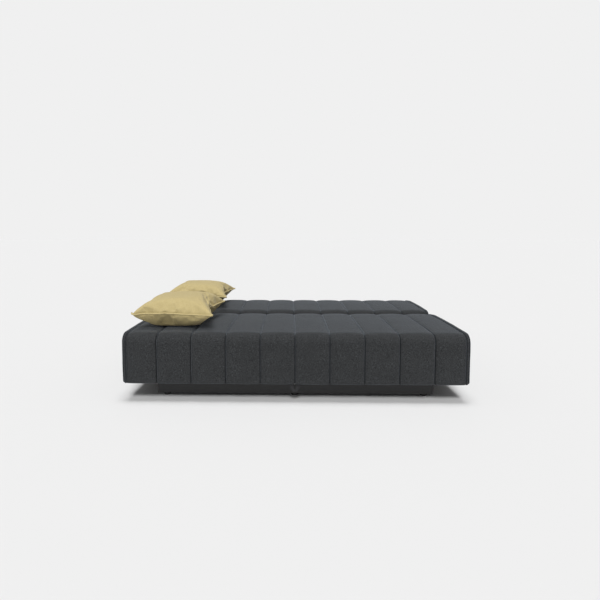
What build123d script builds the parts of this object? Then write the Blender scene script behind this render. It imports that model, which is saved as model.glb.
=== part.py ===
from build123d import *
import os
from math import asin, cos, degrees, radians, sin

# Sofa bed, folded flat: a seat block and a back block of one height, joined at a crease,
# on a low plinth that is set back all round. +X runs along the bed's width, +Y to its rear,
# +Z up. The origin lies on the floor under the middle of the bed. All lengths are millimetres.

# Driving sizes of the bed
bed_width = 2000.0
seat_depth = 700.0
back_depth = 600.0
block_bottom = 110.0
block_height = 301.0
crease_gap = 3.0
overrun = 40.0
fit_gap = 0.3

# Quilted cover of a block
channel_count = 10
channel_dip = 6.0
channel_section_shares = (0.0, 0.25, 0.5, 0.75, 1.0)
cover_thickness = 12.0
crown_rise = 4.0
crown_share = 0.48
crown_round_share = 7.2
front_round = 58.0
fall_run = 120.0
fall = 17.0
fall_round = 500.0
rear_round = 50.0
hem_round = 12.0

# Welt and end panel at each end of a block
welt_width = 13.0
welt_crown_inset = 1.0
welt_edge_inset = 5.0
welt_depth = 14.0
panel_thickness = 9.0
panel_inset_shares = (0.3, 0.4, 1.0)
panel_rim = 10.0
panel_draw_in = 4.0
panel_draw_share = 0.86

# Timber frame, webbing, foam and dust cover in a block
rail_thickness = 28.0
rail_height = 120.0
webbing_count = 9
webbing_width = 60.0
webbing_thickness = 2.2
dust_cover_thickness = 1.5

# Plinth
plinth_end_setback = 175.0
plinth_front_setback = 100.0
plinth_rear_reach = 300.0
board_thickness = 18.0
board_height = 76.0
glide_height = 22.0
glide_radius = 20.0
glide_inset = 45.0
corner_block_side = 40.0
corner_block_drop = 8.0

# Runners on the plinth and sliders under the seat
runner_width = 14.0
runner_height = 11.0
slider_thickness = 2.0
slider_lip = 7.0
slide_travel = 60.0
stop_length = 10.0
stop_width = 22.0
rest_pad_length = 60.0
rest_pad_width = 30.0

# Hinge fittings at the crease
pivot_drop = 39.0
pin_radius = 4.0
pin_clearance = 0.05
pin_head_radius = 6.5
pin_head_height = 2.5
eye_radius = 9.5
arm_thickness = 5.0
arm_gap = 0.5
arm_foot_near = 62.0
arm_foot_length = 110.0
arm_foot_rise = 26.0
arm_foot_height = 80.0
arm_neck_width = 34.0
arm_slot_depth = 100.0
arm_slot_side = 2.5
bolt_radius = 4.0
bolt_head_radius = 7.0
bolt_head_height = 4.0
bolt_inset = 18.0

# Rear support legs
leg_pivot_from_rear = 90.0
leg_pivot_height = 94.0
leg_side = 24.0
leg_foot_height = 6.0
leg_foot_side = 28.0
crossbar_radius = 10.0
crossbar_height = 44.0
leg_pin_radius = 4.0
leg_pin_head = 3.0
leg_pin_head_radius = 7.0
bracket_thickness = 3.0
bracket_plate_length = 70.0
bracket_ear_radius = 13.0
leg_side_gap = 0.6

# Pull strap under the front edge of the seat
strap_setback = 24.0
strap_spread = 80.0
strap_band = 25.0
strap_drop = 46.0
strap_tip = 24.0
strap_notch = 6.0
strap_thickness = 2.5
anchor_length = 100.0
anchor_width = 24.0
anchor_thickness = 2.0

# Loose pillows
pillow_side = 482.0
pillow_thickness = 184.0
pillow_edge_bow = 17.0
front_pillow_left_gap = 36.0
front_pillow_setback = 54.0
rear_pillow_left_gap = 14.0
rear_pillow_setback = 24.0
pillow_piping_radius = 4.0
piping_corner_share = 1.08
piping_gap = 0.8

# Each row is the height as a share of half the thickness, then the corner and the middle of
# an edge as shares of half the side.
pillow_upper_shares = (
    (0.28, 0.88, 0.87),
    (0.55, 0.74, 0.78),
    (0.80, 0.57, 0.65),
    (0.93, 0.40, 0.50),
    (1.00, 0.15, 0.21),
)
pillow_lower_shares = (
    (0.26, 0.90, 0.88),
    (0.52, 0.80, 0.81),
    (0.80, 0.66, 0.69),
    (1.00, 0.46, 0.55),
)

# Places that follow from the driving sizes
half_width = bed_width / 2
bed_depth = seat_depth + back_depth
bed_front = -bed_depth / 2
bed_rear = bed_depth / 2
crease = bed_front + seat_depth
seat_span = (bed_front, crease - crease_gap / 2)
back_span = (crease + crease_gap / 2, bed_rear)
block_top = block_bottom + block_height
pivot_height = block_top - pivot_drop
panel_inner = half_width - panel_thickness
cover_end = panel_inner - welt_width
channel_pitch = bed_width / channel_count
cavity_inset = channel_dip + cover_thickness
frame_half = cover_end - fit_gap
runner_bottom = glide_height + board_height
runner_top = runner_bottom + runner_height
slider_top = runner_top + fit_gap + slider_thickness
frame_bottom = slider_top + dust_cover_thickness
frame_top = frame_bottom + rail_height
webbing_top = frame_top + webbing_thickness
end_rail_inner = frame_half - rail_thickness
plinth_front = bed_front + plinth_front_setback
plinth_rear = crease + plinth_rear_reach
plinth_half = half_width - plinth_end_setback
runner_side = plinth_half - board_thickness / 2
runner_places = {"left": -runner_side, "middle": 0.0, "right": runner_side}
slider_front = plinth_front + board_thickness + stop_length + fit_gap
slider_rear = seat_span[1] - cavity_inset - fit_gap


def block_between(low, high):
    """Box from one corner to the opposite one."""
    size = [end - start for start, end in zip(low, high)]
    return Pos(*low) * Box(*size, align=(Align.MIN, Align.MIN, Align.MIN))


def along_x(face, start, end):
    """Extrude a side view, drawn in Y and Z, from one X to another."""
    return Plane.YZ.offset(start) * extrude(face, amount=end - start)


def block_outline(span, inset, below=0.0):
    """Side view of a block, drawn in by inset except below, its foot carried down by below."""
    front = span[0] + inset
    rear = span[1] - inset
    top = block_top - inset
    shoulder = top - crown_rise
    crown_round = crown_round_share * (span[1] - span[0])
    foot = block_bottom - below
    corners = [
        (front, foot),
        (front, shoulder),
        (front + crown_share * (rear - front), top),
        (rear - fall_run, shoulder),
        (rear, shoulder - fall),
        (rear, foot),
    ]
    rounds = [hem_round, front_round, crown_round, fall_round, rear_round, hem_round]
    return make_face(FilletPolyline(*corners, radius=rounds, close=True))


def outline_loft(span, places, insets):
    """Loft of side views at the given X places, each drawn in by its own inset."""
    sections = []
    for place, inset in zip(places, insets):
        sections.append(Plane.YZ.offset(place) * block_outline(span, inset))
    return loft(sections)


# Quilted blocks


def channel_edges():
    """X of each channel's two seams; the end ones stop at the welts."""
    edges = []
    for index in range(channel_count):
        left = max(-half_width + index * channel_pitch, -cover_end)
        right = min(-half_width + (index + 1) * channel_pitch, cover_end)
        edges.append((left, right))
    return edges


def channel(span, left, right):
    """One puffed channel between two seams."""
    places = [left + share * (right - left) for share in channel_section_shares]
    insets = [channel_dip * (2 * share - 1) ** 2 for share in channel_section_shares]
    return outline_loft(span, places, insets)


def hinge_slots(side):
    """Room for the two hinge fittings, cut into the block on one side of the crease."""
    inner = end_rail_inner - 2 * arm_thickness - arm_gap - pin_head_height - arm_slot_side
    outer = end_rail_inner + pin_head_height + arm_slot_side
    near = crease - side * crease_gap
    far = crease + side * arm_slot_depth
    low = (inner, min(near, far), webbing_top)
    high = (outer, max(near, far), pivot_height + eye_radius + arm_slot_side)
    slot = block_between(low, high)
    return slot + mirror(slot, about=Plane.YZ)


def quilted_cover(span, side):
    """Cover with its channels, open below, hollow for the frame and the foam."""
    channels = [channel(span, left, right) for left, right in channel_edges()]
    body = channels[0].fuse(*channels[1:])
    reach = cover_end + overrun
    cavity = along_x(block_outline(span, cavity_inset, overrun), -reach, reach)
    return body - cavity - hinge_slots(side)


def foam_core(span, side):
    """Foam slab that fills the cover above the webbing."""
    body = along_x(block_outline(span, cavity_inset + fit_gap), -frame_half, frame_half)
    below = block_between(
        (-half_width, span[0], block_bottom - overrun), (half_width, span[1], webbing_top)
    )
    return body - below - hinge_slots(side)


def end_welt(span):
    """Rounded welt round the right end of a block, open below."""
    middle = (cover_end + panel_inner) / 2
    places = (cover_end, middle, panel_inner)
    insets = (welt_edge_inset, welt_crown_inset, welt_edge_inset)
    inner = along_x(block_outline(span, welt_depth, overrun), cover_end, panel_inner)
    return outline_loft(span, places, insets) - inner


def end_panel(span):
    """Panel that closes the right end of a block, its face drawn in between the corners."""
    plug = along_x(block_outline(span, welt_depth), cover_end, panel_inner)
    middle = (panel_inner + half_width) / 2
    insets = [share * panel_rim for share in panel_inset_shares]
    plate = outline_loft(span, (panel_inner, middle, half_width), insets)
    chord = panel_draw_share * block_height / 2
    radius = (chord**2 + panel_draw_in**2) / (2 * panel_draw_in)
    drum = Rotation(90, 0, 0) * Cylinder(radius, bed_depth + overrun)
    drum = Pos(half_width + radius - panel_draw_in, 0, block_bottom + block_height / 2) * drum
    return plug + plate - drum


def frame_rails(span, prefix):
    """The timber rails of one block, by node name."""
    front = span[0] + cavity_inset + fit_gap
    rear = span[1] - cavity_inset - fit_gap
    inner_front = front + rail_thickness
    inner_rear = rear - rail_thickness
    rails = {}

    def rail(name, x, y):
        low = (x[0], y[0], frame_bottom)
        high = (x[1], y[1], frame_top)
        rails[f"{prefix}_{name}"] = block_between(low, high)

    rail("front_rail", (-end_rail_inner, end_rail_inner), (front, inner_front))
    rail("rear_rail", (-end_rail_inner, end_rail_inner), (inner_rear, rear))
    rail("end_rail_left", (-frame_half, -end_rail_inner), (front, rear))
    rail("end_rail_right", (end_rail_inner, frame_half), (front, rear))
    cross_rails = []
    for place in runner_places.values():
        low = (place - rail_thickness / 2, inner_front, frame_bottom)
        high = (place + rail_thickness / 2, inner_rear, frame_top)
        cross_rails.append(block_between(low, high).solid())
    rails[f"{prefix}_cross_rails"] = Compound(children=cross_rails)
    return rails


def webbing(span):
    """Webbing bands stretched from the front rail to the rear rail."""
    front = span[0] + cavity_inset + fit_gap
    rear = span[1] - cavity_inset - fit_gap
    pitch = 2 * end_rail_inner / webbing_count
    bands = []
    for index in range(webbing_count):
        place = -end_rail_inner + (index + 0.5) * pitch
        low = (place - webbing_width / 2, front, frame_top)
        high = (place + webbing_width / 2, rear, webbing_top)
        bands.append(block_between(low, high))
    return Compound(children=[band.solid() for band in bands])


def dust_cover(span):
    """Thin cloth stapled under the frame."""
    front = span[0] + cavity_inset + fit_gap
    rear = span[1] - cavity_inset - fit_gap
    low = (-frame_half, front, frame_bottom - dust_cover_thickness)
    return block_between(low, (frame_half, rear, frame_bottom))


def block_nodes(span, side, prefix):
    """All pieces of one upholstered block, by node name."""
    nodes = frame_rails(span, prefix)
    nodes[f"{prefix}_webbing"] = webbing(span)
    nodes[f"{prefix}_foam"] = foam_core(span, side)
    nodes[f"{prefix}_cover"] = quilted_cover(span, side)
    nodes[f"{prefix}_dust_cover"] = dust_cover(span)
    for piece, shape in (("welt", end_welt(span)), ("end_panel", end_panel(span))):
        nodes[f"{prefix}_{piece}_right"] = shape
        nodes[f"{prefix}_{piece}_left"] = mirror(shape, about=Plane.YZ)
    return nodes


# Hinge fittings


def arm_face(side):
    """Side view of a hinge arm: an eye at the pivot, a neck and a foot on the end rail."""
    foot_near = crease + side * arm_foot_near
    foot_far = foot_near + side * arm_foot_length
    foot_low = frame_bottom + arm_foot_rise
    foot_high = foot_low + arm_foot_height
    neck_far = foot_near + side * arm_neck_width
    lean = degrees(asin(eye_radius / (pivot_height - foot_high)))
    tip = (
        crease + side * eye_radius * cos(radians(lean)),
        pivot_height + eye_radius * sin(radians(lean)),
    )
    outline = Polyline(
        (foot_near, foot_low),
        (foot_near, foot_high),
        (crease - side * crease_gap / 2, pivot_height),
        tip,
        (neck_far, foot_high),
        (foot_far, foot_high),
        (foot_far, foot_low),
        close=True,
    )
    eye = Pos(crease, pivot_height) * Circle(eye_radius)
    hole = Pos(crease, pivot_height) * Circle(pin_radius + pin_clearance)
    holes = [Pos(*place) * Circle(bolt_radius) for place in bolt_places(side)]
    face = make_face(outline) + eye - hole
    for bolt_hole in holes:
        face -= bolt_hole
    return face


def bolt_places(side):
    """Y and Z of the two bolts in a hinge arm's foot."""
    foot_near = crease + side * arm_foot_near
    foot_far = foot_near + side * arm_foot_length
    level = frame_bottom + arm_foot_rise + arm_foot_height / 2
    return [(foot_near + side * bolt_inset, level), (foot_far - side * bolt_inset, level)]


def hinge_arm(side):
    """Right hinge arm of a block; the back's arm lies inside the seat's, on stand-offs."""
    outer = end_rail_inner
    if side < 0:
        return along_x(arm_face(side), outer - arm_thickness, outer)
    inner = outer - 2 * arm_thickness - arm_gap
    arm = along_x(arm_face(side), inner, inner + arm_thickness)
    for place in bolt_places(side):
        ring = Pos(*place) * (Circle(bolt_head_radius) - Circle(bolt_radius))
        arm += along_x(ring, inner + arm_thickness, outer)
    return arm


def hinge_bolts(side):
    """The two bolts of the right hinge arm of a block."""
    outer = end_rail_inner
    face = outer - arm_thickness
    if side > 0:
        face = outer - 2 * arm_thickness - arm_gap
    bolts = []
    for place in bolt_places(side):
        head = Pos(*place) * Circle(bolt_head_radius)
        shank = Pos(*place) * Circle(bolt_radius - pin_clearance)
        bolt = along_x(head, face - bolt_head_height, face) + along_x(shank, face, outer)
        bolts.append(bolt.solid())
    return bolts


def hinge_pin():
    """Right hinge pin with its two heads."""
    outer = end_rail_inner
    inner = outer - 2 * arm_thickness - arm_gap
    centre = Pos(crease, pivot_height)
    head = centre * Circle(pin_head_radius)
    pin = along_x(centre * Circle(pin_radius), inner, outer)
    pin += along_x(head, inner - pin_head_height, inner)
    return pin + along_x(head, outer, outer + pin_head_height)


def hinge_nodes():
    """Arms, bolts and pins of the two hinges, by node name."""
    nodes = {}
    for prefix, side in (("seat", -1), ("back", 1)):
        arm = hinge_arm(side)
        nodes[f"{prefix}_hinge_arm_right"] = arm
        nodes[f"{prefix}_hinge_arm_left"] = mirror(arm, about=Plane.YZ)
        bolts = hinge_bolts(side)
        bolts += [mirror(bolt, about=Plane.YZ) for bolt in bolts]
        nodes[f"{prefix}_hinge_bolts"] = Compound(children=bolts)
    pin = hinge_pin().solid()
    nodes["hinge_pins"] = Compound(children=[pin, mirror(pin, about=Plane.YZ)])
    return nodes


# Plinth, runners and sliders


def plinth_nodes():
    """Boards, corner blocks and glides of the plinth, by node name."""
    low = glide_height
    high = glide_height + board_height
    inner = plinth_half - board_thickness
    inner_front = plinth_front + board_thickness
    inner_rear = plinth_rear - board_thickness
    nodes = {
        "plinth_front_board": block_between(
            (-inner, plinth_front, low), (inner, inner_front, high)
        ),
        "plinth_rear_board": block_between((-inner, inner_rear, low), (inner, plinth_rear, high)),
        "plinth_left_board": block_between(
            (-plinth_half, plinth_front, low), (-inner, plinth_rear, high)
        ),
        "plinth_right_board": block_between(
            (inner, plinth_front, low), (plinth_half, plinth_rear, high)
        ),
        "plinth_middle_board": block_between(
            (-board_thickness / 2, inner_front, low), (board_thickness / 2, inner_rear, high)
        ),
    }
    blocks = []
    glides = []
    for x in (-1, 1):
        for y in (inner_front, inner_rear):
            toward = 1 if y == inner_front else -1
            near = (x * inner, y, low)
            far = (
                x * (inner - corner_block_side),
                y + toward * corner_block_side,
                high - corner_block_drop,
            )
            corner_low = [min(pair) for pair in zip(near, far)]
            corner_high = [max(pair) for pair in zip(near, far)]
            blocks.append(block_between(corner_low, corner_high).solid())
    for x in (-plinth_half + glide_inset, 0, plinth_half - glide_inset):
        for y in (plinth_front + glide_inset, plinth_rear - glide_inset):
            glides.append(glide(x, y).solid())
    nodes["plinth_corner_blocks"] = Compound(children=blocks)
    nodes["plinth_glides"] = Compound(children=glides)
    return nodes


def glide(x, y):
    """Round plastic glide under a board."""
    foot = Cylinder(glide_radius, glide_height, align=(Align.CENTER, Align.CENTER, Align.MIN))
    return Pos(x, y, 0) * foot


def runner(place):
    """Fixed runner bar with its front and rear stops."""
    low = runner_bottom
    start = plinth_front + board_thickness
    end = plinth_rear - board_thickness
    half = runner_width / 2
    bar = block_between((place - half, start, low), (place + half, end, runner_top))
    for y in (start, slider_rear + slide_travel + fit_gap):
        near = (place - stop_width / 2, y, low)
        far = (place + stop_width / 2, y + stop_length, runner_top)
        bar += block_between(near, far)
    return bar


def slider(place):
    """Channel under the seat that straddles a runner."""
    inner = runner_width / 2 + fit_gap
    outer = inner + slider_thickness
    web_low = runner_top + fit_gap
    web = block_between(
        (place - outer, slider_front, web_low), (place + outer, slider_rear, slider_top)
    )
    for x in (place - outer, place + inner):
        near = (x, slider_front, web_low - slider_lip)
        web += block_between(near, (x + slider_thickness, slider_rear, web_low))
    return web


def rest_pad(place):
    """Nylon pad under the back block that lies on a runner."""
    middle = (crease + plinth_rear) / 2
    low = (place - rest_pad_width / 2, middle - rest_pad_length / 2, runner_top + fit_gap)
    high = (place + rest_pad_width / 2, middle + rest_pad_length / 2, slider_top)
    return block_between(low, high)


def runner_nodes():
    """Runners, sliders and rest pads, by node name."""
    nodes = {}
    pads = []
    for name, place in runner_places.items():
        nodes[f"plinth_runner_{name}"] = runner(place)
        nodes[f"seat_slider_{name}"] = slider(place)
        pads.append(rest_pad(place).solid())
    nodes["back_rest_pads"] = Compound(children=pads)
    return nodes


# Rear support legs

leg_y = bed_rear - leg_pivot_from_rear
bracket_reach = leg_side / 2 + leg_side_gap + bracket_thickness


def leg_post(place):
    """Square leg with a rounded top, drilled for its pin."""
    half = leg_side / 2
    shaft = Pos(leg_y, (leg_foot_height + leg_pivot_height) / 2) * Rectangle(
        leg_side, leg_pivot_height - leg_foot_height
    )
    face = shaft + Pos(leg_y, leg_pivot_height) * Circle(half)
    face -= Pos(leg_y, leg_pivot_height) * Circle(leg_pin_radius + pin_clearance)
    return along_x(face, place - half, place + half)


def leg_foot(place):
    """Rubber foot under a leg."""
    half = leg_foot_side / 2
    low = (place - half, leg_y - half, 0)
    return block_between(low, (place + half, leg_y + half, leg_foot_height))


def leg_bracket(place):
    """Steel bracket under the back's frame, with an ear on each side of the leg."""
    plate_low = frame_bottom - dust_cover_thickness - bracket_thickness
    plate_high = plate_low + bracket_thickness
    half = bracket_plate_length / 2
    plate = block_between(
        (place - bracket_reach, leg_y - half, plate_low),
        (place + bracket_reach, leg_y + half, plate_high),
    )
    centre = Pos(leg_y, leg_pivot_height)
    ear_height = plate_low - leg_pivot_height
    ear = centre * Circle(bracket_ear_radius)
    ear += Pos(leg_y, leg_pivot_height + ear_height / 2) * Rectangle(
        2 * bracket_ear_radius, ear_height
    )
    above = Pos(leg_y, plate_low + bracket_ear_radius) * Rectangle(
        2 * bracket_plate_length, 2 * bracket_ear_radius
    )
    ear = ear - above - centre * Circle(leg_pin_radius + pin_clearance)
    for start in (place - bracket_reach, place + bracket_reach - bracket_thickness):
        plate += along_x(ear, start, start + bracket_thickness)
    return plate


def leg_pin(place):
    """Pin through a bracket's ears and its leg."""
    centre = Pos(leg_y, leg_pivot_height)
    head = centre * Circle(leg_pin_head_radius)
    left = place - bracket_reach
    right = place + bracket_reach
    pin = along_x(centre * Circle(leg_pin_radius), left, right)
    pin += along_x(head, left - leg_pin_head, left)
    return pin + along_x(head, right, right + leg_pin_head)


def leg_nodes():
    """Legs, cross tube, feet, brackets and pins, by node name."""
    nodes = {}
    feet = []
    brackets = []
    pins = []
    for name in ("left", "right"):
        place = runner_places[name]
        nodes[f"rear_leg_{name}"] = leg_post(place)
        feet.append(leg_foot(place).solid())
        brackets.append(leg_bracket(place).solid())
        pins.append(leg_pin(place).solid())
    reach = runner_side - leg_side / 2
    tube = Pos(leg_y, crossbar_height) * Circle(crossbar_radius)
    nodes["rear_leg_crossbar"] = along_x(tube, -reach, reach)
    nodes["rear_leg_feet"] = Compound(children=feet)
    nodes["rear_leg_brackets"] = Compound(children=brackets)
    nodes["rear_leg_pins"] = Compound(children=pins)
    return nodes


# Pull strap

strap_y = bed_front + strap_setback
anchor_low = frame_bottom - dust_cover_thickness - anchor_thickness
strap_axis = anchor_low - fit_gap - strap_thickness / 2


def pull_strap():
    """Webbing folded into a flat V whose two ends cross at the tip."""
    outer = strap_spread / 2
    inner = outer - strap_band
    half_tip = strap_tip / 2
    right = [
        (outer, 0),
        (half_tip, -strap_drop),
        (half_tip / 2, -strap_drop),
    ]
    left = [(-x, z) for x, z in reversed(right)]
    top_left = [(-outer, 0), (-inner, 0)]
    apex = (0, -strap_drop * inner / (outer - half_tip / 2))
    points = right + [(0, strap_notch - strap_drop)] + left[:2] + top_left + [apex, (inner, 0)]
    band = extrude(make_face(Polyline(*points, close=True)), amount=strap_thickness / 2, both=True)
    band = Plane.XZ * band
    fold = Rotation(0, 90, 0) * Cylinder(strap_thickness / 2, strap_band)
    for side in (-1, 1):
        band += Pos(side * (inner + strap_band / 2), 0, 0) * fold
    return Pos(0, strap_y, strap_axis) * band


def strap_anchor():
    """Plate that clamps the strap under the seat's front rail."""
    front = bed_front + cavity_inset + fit_gap
    low = (-anchor_length / 2, front, anchor_low)
    return block_between(
        low, (anchor_length / 2, front + anchor_width, anchor_low + anchor_thickness)
    )


# Pillows


def pillow_outline(corner, middle):
    """Square outline with four arcs, from the half sizes at the corners and mid edges."""
    sides = []
    places = [(-corner, -corner), (corner, -corner), (corner, corner), (-corner, corner)]
    middles = [(0, -middle), (middle, 0), (0, middle), (-middle, 0)]
    for index, through in enumerate(middles):
        sides.append(ThreePointArc(places[index], through, places[(index + 1) % len(places)]))
    return sides


def pillow_half(shares, direction):
    """Upper or lower half of a pillow, lofted from its seam."""
    half_side = pillow_side / 2
    seam = pillow_outline(half_side, half_side - pillow_edge_bow)
    sections = [make_face(seam)]
    for height, corner, middle in shares:
        level = direction * height * pillow_thickness / 2
        arcs = pillow_outline(corner * half_side, middle * half_side)
        sections.append(Pos(0, 0, level) * make_face(arcs))
    return loft(sections)


def pillow():
    """Stuffed pillow: crowned, with pointed corners and drawn-in edges, its seam at zero."""
    return pillow_half(pillow_upper_shares, 1) + pillow_half(pillow_lower_shares, -1)


def pillow_piping():
    """Cord sewn round a pillow's seam."""
    away = pillow_piping_radius + piping_gap
    corner = pillow_side / 2 + away
    arcs = pillow_outline(corner, corner - pillow_edge_bow)
    ring = None
    for arc in arcs:
        start = Plane(origin=arc @ 0, z_dir=arc % 0)
        tube = sweep(start * Circle(pillow_piping_radius), path=arc)
        ball = Pos(*(arc @ 0)) * Sphere(pillow_piping_radius * piping_corner_share)
        ring = tube + ball if ring is None else ring + tube + ball
    return ring


def crown_level(span):
    """Height of a block's crown, which its large rounding lies just under."""
    depth = span[1] - span[0]
    rise = crown_rise / (crown_share * depth)
    drop = crown_rise / ((1 - crown_share) * depth - fall_run)
    return block_top - crown_round_share * depth * (rise + drop) ** 2 / 8


def pillow_nodes():
    """Both pillows with their piping, by node name."""
    nodes = {}
    for name, span, left_gap, edge in (
        ("front_pillow", seat_span, front_pillow_left_gap, bed_front + front_pillow_setback),
        ("rear_pillow", back_span, rear_pillow_left_gap, crease + rear_pillow_setback),
    ):
        seam = crown_level(span) + fit_gap + pillow_thickness / 2
        place = Pos(-half_width + left_gap + pillow_side / 2, edge + pillow_side / 2, seam)
        nodes[name] = place * pillow()
        nodes[f"{name}_piping"] = place * pillow_piping()
    return nodes


def all_nodes():
    """Every node of the sofa bed."""
    nodes = plinth_nodes()
    nodes.update(runner_nodes())
    nodes.update(block_nodes(seat_span, -1, "seat"))
    nodes.update(block_nodes(back_span, 1, "back"))
    nodes.update(hinge_nodes())
    nodes.update(leg_nodes())
    nodes["pull_strap"] = pull_strap()
    nodes["strap_anchor"] = strap_anchor()
    nodes.update(pillow_nodes())
    return nodes


os.makedirs("parts", exist_ok=True)
for node_name, node_shape in all_nodes().items():
    export_step(node_shape, f"parts/{node_name}.step")
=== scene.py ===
import logging
import math
from dataclasses import dataclass
from enum import Enum

import bmesh
import bpy
import numpy as np
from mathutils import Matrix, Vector, noise


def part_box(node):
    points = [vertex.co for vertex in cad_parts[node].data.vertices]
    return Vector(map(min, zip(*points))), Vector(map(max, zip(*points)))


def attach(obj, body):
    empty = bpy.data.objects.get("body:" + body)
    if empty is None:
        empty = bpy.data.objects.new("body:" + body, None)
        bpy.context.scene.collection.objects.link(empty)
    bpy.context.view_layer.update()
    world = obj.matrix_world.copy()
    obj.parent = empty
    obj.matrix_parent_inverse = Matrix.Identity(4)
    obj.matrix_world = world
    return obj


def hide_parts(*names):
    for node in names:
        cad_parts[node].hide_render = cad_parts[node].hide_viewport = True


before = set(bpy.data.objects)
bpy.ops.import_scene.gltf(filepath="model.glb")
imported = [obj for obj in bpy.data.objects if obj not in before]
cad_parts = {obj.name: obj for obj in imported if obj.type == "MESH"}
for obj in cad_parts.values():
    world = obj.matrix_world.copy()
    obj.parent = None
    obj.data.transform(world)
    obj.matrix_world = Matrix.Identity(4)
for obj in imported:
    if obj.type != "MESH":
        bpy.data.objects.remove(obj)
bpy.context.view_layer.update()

# Sofa bed, folded flat: the looks of its two quilted blocks, its plinth and fittings, its pull
# strap and its two loose pillows. All lengths are metres, in the part's own frame.

log = logging.getLogger("sofa_bed")
MM = 0.001
Faces = list[tuple[int, ...]]
Tree, Socket, Piece = bpy.types.NodeTree, bpy.types.NodeSocket, bpy.types.Object


class Side(Enum):
    """End of the bed that a piece belongs to, by the sign of its X."""

    LEFT = -1
    RIGHT = 1


# Small helpers


def linear(code: str) -> tuple[float, float, float, float]:
    """Turn an sRGB hex colour into linear RGBA.

    Args:
        code: Colour as #rrggbb.

    Returns:
        The linear colour with full alpha.
    """
    values = [int(code[i : i + 2], 16) / 255 for i in (1, 3, 5)]
    red, green, blue = (v / 12.92 if v <= 0.04045 else ((v + 0.055) / 1.055) ** 2.4 for v in values)
    return red, green, blue, 1.0


def add_node(tree: Tree, kind: str, inputs: dict | None = None, **settings) -> bpy.types.Node:
    """Add a node with its settings and its inputs, each a value or a socket to link.

    Args:
        tree: Tree that gets the node.
        kind: Node type.
        inputs: Values or sockets by input name or index.
        settings: Properties of the node.

    Returns:
        The new node.
    """
    node = tree.nodes.new(kind)
    for key, value in settings.items():
        setattr(node, key, value)
    for key, value in (inputs or {}).items():
        if isinstance(value, Socket):
            tree.links.new(value, node.inputs[key])
        else:
            node.inputs[key].default_value = value
    return node


def new_object(name: str, data: bpy.types.ID) -> Piece:
    """A new object with its data, in the scene."""
    made = bpy.data.objects.new(name, data)
    bpy.context.scene.collection.objects.link(made)
    return made


def grid_places(across: np.ndarray, along: np.ndarray, height: float | None = None) -> np.ndarray:
    """Places of a grid's points, row by row.

    Args:
        across: First coordinate of each row.
        along: Second coordinate of each column.
        height: Third coordinate of them all, if they have one.

    Returns:
        The places, with the coordinates on the last axis.
    """
    flat = np.stack(np.meshgrid(across, along, indexing="ij"), -1)
    return flat if height is None else np.dstack([flat, np.full(flat.shape[:2], height)])


def grid_faces(rows: int, columns: int, wrap_rows: bool = False, wrap_columns: bool = False) -> Faces:
    """Quads of a grid of points that is stored row by row.

    Args:
        rows: Number of rows.
        columns: Points in a row.
        wrap_rows: Whether the last row joins the first.
        wrap_columns: Whether each row closes on itself.

    Returns:
        The faces as index tuples.
    """
    faces = []
    for row in range(rows if wrap_rows else rows - 1):
        here, below = row * columns, (row + 1) % rows * columns
        for column in range(columns if wrap_columns else columns - 1):
            beside = (column + 1) % columns
            faces.append((here + column, here + beside, below + beside, below + column))
    return faces


def rim(index: np.ndarray) -> list[int]:
    """Numbers of the points round the edge of a grid, in order."""
    return np.concatenate([index[:-1, 0], index[-1, :-1], index[:0:-1, -1], index[0, :0:-1]]).tolist()


def sheet_faces(rows: int, columns: int) -> Faces:
    """Faces of a thin closed sheet: a grid of points, the same grid over it, and the edge between.

    Args:
        rows: Rows in each grid.
        columns: Points in a row.

    Returns:
        The faces as index tuples.
    """
    count = rows * columns
    under = grid_faces(rows, columns)
    over = [tuple(count + i for i in reversed(face)) for face in under]
    edge = rim(np.arange(count).reshape(rows, columns))
    return under + over + [(a, b, b + count, a + count) for a, b in zip(edge, edge[1:] + edge[:1])]


def mesh_piece(name: str, points: np.ndarray, faces: Faces, cloth: np.ndarray) -> Piece:
    """Make a smooth closed piece whose faces point outwards.

    Args:
        name: Name of the piece.
        points: Vertex places, one row each.
        faces: Index tuples.
        cloth: Place of each vertex in the cloth, in metres, for a weave that follows it.

    Returns:
        The new object.
    """
    mesh = bpy.data.meshes.new(name)
    mesh.from_pydata([tuple(point) for point in points.reshape(-1, 3).tolist()], [], faces)
    layer = mesh.uv_layers.new(name="cloth")
    corners = np.empty(len(mesh.loops), np.int32)
    mesh.loops.foreach_get("vertex_index", corners)
    layer.data.foreach_set("uv", cloth.reshape(-1, 2)[corners].astype(np.float32).ravel())
    work = bmesh.new()
    work.from_mesh(mesh)
    bmesh.ops.recalc_face_normals(work, faces=work.faces)
    work.to_mesh(mesh)
    work.free()
    mesh.shade_smooth()
    return new_object(name, mesh)


def baked(piece: Piece) -> bpy.types.Mesh:
    """The mesh of a piece with its modifiers applied.

    Args:
        piece: The piece, which keeps its modifiers.

    Returns:
        A plain mesh named after the piece.
    """
    bpy.context.view_layer.update()
    depsgraph = bpy.context.evaluated_depsgraph_get()
    mesh = bpy.data.meshes.new_from_object(piece.evaluated_get(depsgraph))
    mesh.name = piece.name
    return mesh


def paint_seam_shade(piece: Piece, shade_shares: np.ndarray, columns: int = 1) -> None:
    """Store each vertex's share of painted shade, which darkens the cloth where it lies deep in a seam.

    Args:
        piece: The piece.
        shade_shares: Share of painted shade for each row of vertices, from 0 to 1.
        columns: Vertices in a row.
    """
    layer = piece.data.attributes.new("fold", "FLOAT", "POINT")
    layer.data.foreach_set("value", np.repeat(np.clip(shade_shares, 0, 1), columns).astype(np.float32))


def mesh_points(mesh: bpy.types.Mesh) -> np.ndarray:
    """Vertex places of a mesh, one row each."""
    values = np.empty(len(mesh.vertices) * 3, np.float32)
    mesh.vertices.foreach_get("co", values)
    return values.reshape(-1, 3).astype(float)


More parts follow.
